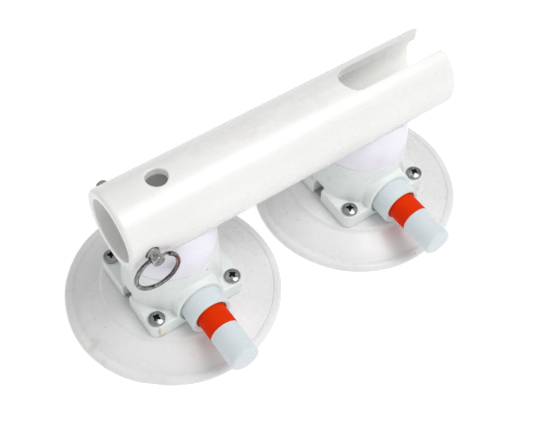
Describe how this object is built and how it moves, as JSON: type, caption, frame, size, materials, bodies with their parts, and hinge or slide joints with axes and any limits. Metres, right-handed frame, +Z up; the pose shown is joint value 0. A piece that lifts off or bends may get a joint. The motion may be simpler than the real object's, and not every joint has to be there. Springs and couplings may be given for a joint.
{
  "type": "suction-mounted tube holder",
  "caption": "Short slotted plastic tube on pump-type vacuum cups, with a detent pin and pull ring, for holding a rod on a smooth surface or as a short grab bar.",
  "frame": {"origin": "on the floor, in the middle of the plan of the whole object", "axes": "+X along the tube towards its slotted end, -Y the side of the pumps, +Z up"},
  "size_m": [0.2346, 0.125, 0.0969],
  "materials": {
    "tube_pvc": "smooth warm white PVC, faint streaks",
    "pad_rubber": "smooth white rubber, light scuffs",
    "housing_plastic": "satin moulded, cool white",
    "pump_plastic": "satin, pale blue-grey",
    "saddle_plastic": "glossy lilac white",
    "band_orange": "satin orange red",
    "inner_plastic": "moulded grey",
    "seal_rubber": "smooth black",
    "gasket_rubber": "smooth grey",
    "steel": "turned stainless steel",
    "brass": "turned"
  },
  "bodies": {
    "frame": {"tube": "tube_pvc", "left_cup_pad": "pad_rubber", "left_clamp_plate": "steel", "left_intake_filter": "inner_plastic", "left_base_gasket": "gasket_rubber", "left_housing": "housing_plastic", "left_screw_1": "steel", "left_screw_2": "steel", "left_screw_3": "steel", "left_screw_4": "steel", "left_pump_barrel": "pump_plastic", "left_barrel_seal": "seal_rubber", "left_return_spring": "steel", "left_check_valve": "seal_rubber", "left_saddle": "saddle_plastic", "left_tower_insert": "brass", "left_mount_washer": "steel", "left_mount_bolt": "steel", "right_cup_pad": "pad_rubber", "right_clamp_plate": "steel", "right_intake_filter": "inner_plastic", "right_base_gasket": "gasket_rubber", "right_housing": "housing_plastic", "right_screw_1": "steel", "right_screw_2": "steel", "right_screw_3": "steel", "right_screw_4": "steel", "right_pump_barrel": "pump_plastic", "right_barrel_seal": "seal_rubber", "right_return_spring": "steel", "right_check_valve": "seal_rubber", "right_saddle": "saddle_plastic", "right_tower_insert": "brass", "right_mount_washer": "steel", "right_mount_bolt": "steel"},
    "left_pump_rod": {"left_plunger": "pump_plastic", "left_indicator_band": "band_orange", "left_piston": "inner_plastic", "left_piston_seal": "seal_rubber"},
    "right_pump_rod": {"right_plunger": "pump_plastic", "right_indicator_band": "band_orange", "right_piston": "inner_plastic", "right_piston_seal": "seal_rubber"},
    "pin": {"cross_pin": "steel", "detent_spring": "steel"},
    "detent": {"detent_ball": "steel"},
    "ring": {"split_ring": "steel"}
  },
  "joints": [
    {"name": "left_pump_stroke", "type": "slide", "parent": "frame", "child": "left_pump_rod", "axis": [0, 1, 0], "range_m": [0, 0.02], "stiffness_N_per_m": 150, "springref_m": -0.02, "deforming": ["left_return_spring"]},
    {"name": "right_pump_stroke", "type": "slide", "parent": "frame", "child": "right_pump_rod", "axis": [0, 1, 0], "range_m": [0, 0.02], "stiffness_N_per_m": 150, "springref_m": -0.02, "deforming": ["right_return_spring"]},
    {"name": "pin_pull", "type": "slide", "parent": "frame", "child": "pin", "axis": [0, -1, 0], "range_m": [0, 0.048]},
    {"name": "detent_press", "type": "slide", "parent": "pin", "child": "detent", "axis": [0, 0, 1], "range_m": [0, 0.0004], "stiffness_N_per_m": 300, "springref_m": -0.0006, "deforming": ["detent_spring"]},
    {"name": "ring_swing", "type": "hinge", "parent": "pin", "child": "ring", "pos_m": [-0.0796, -0.01847, 0.0758], "axis": [-1, 0, 0], "range_deg": [-3, 178]}
  ]
}
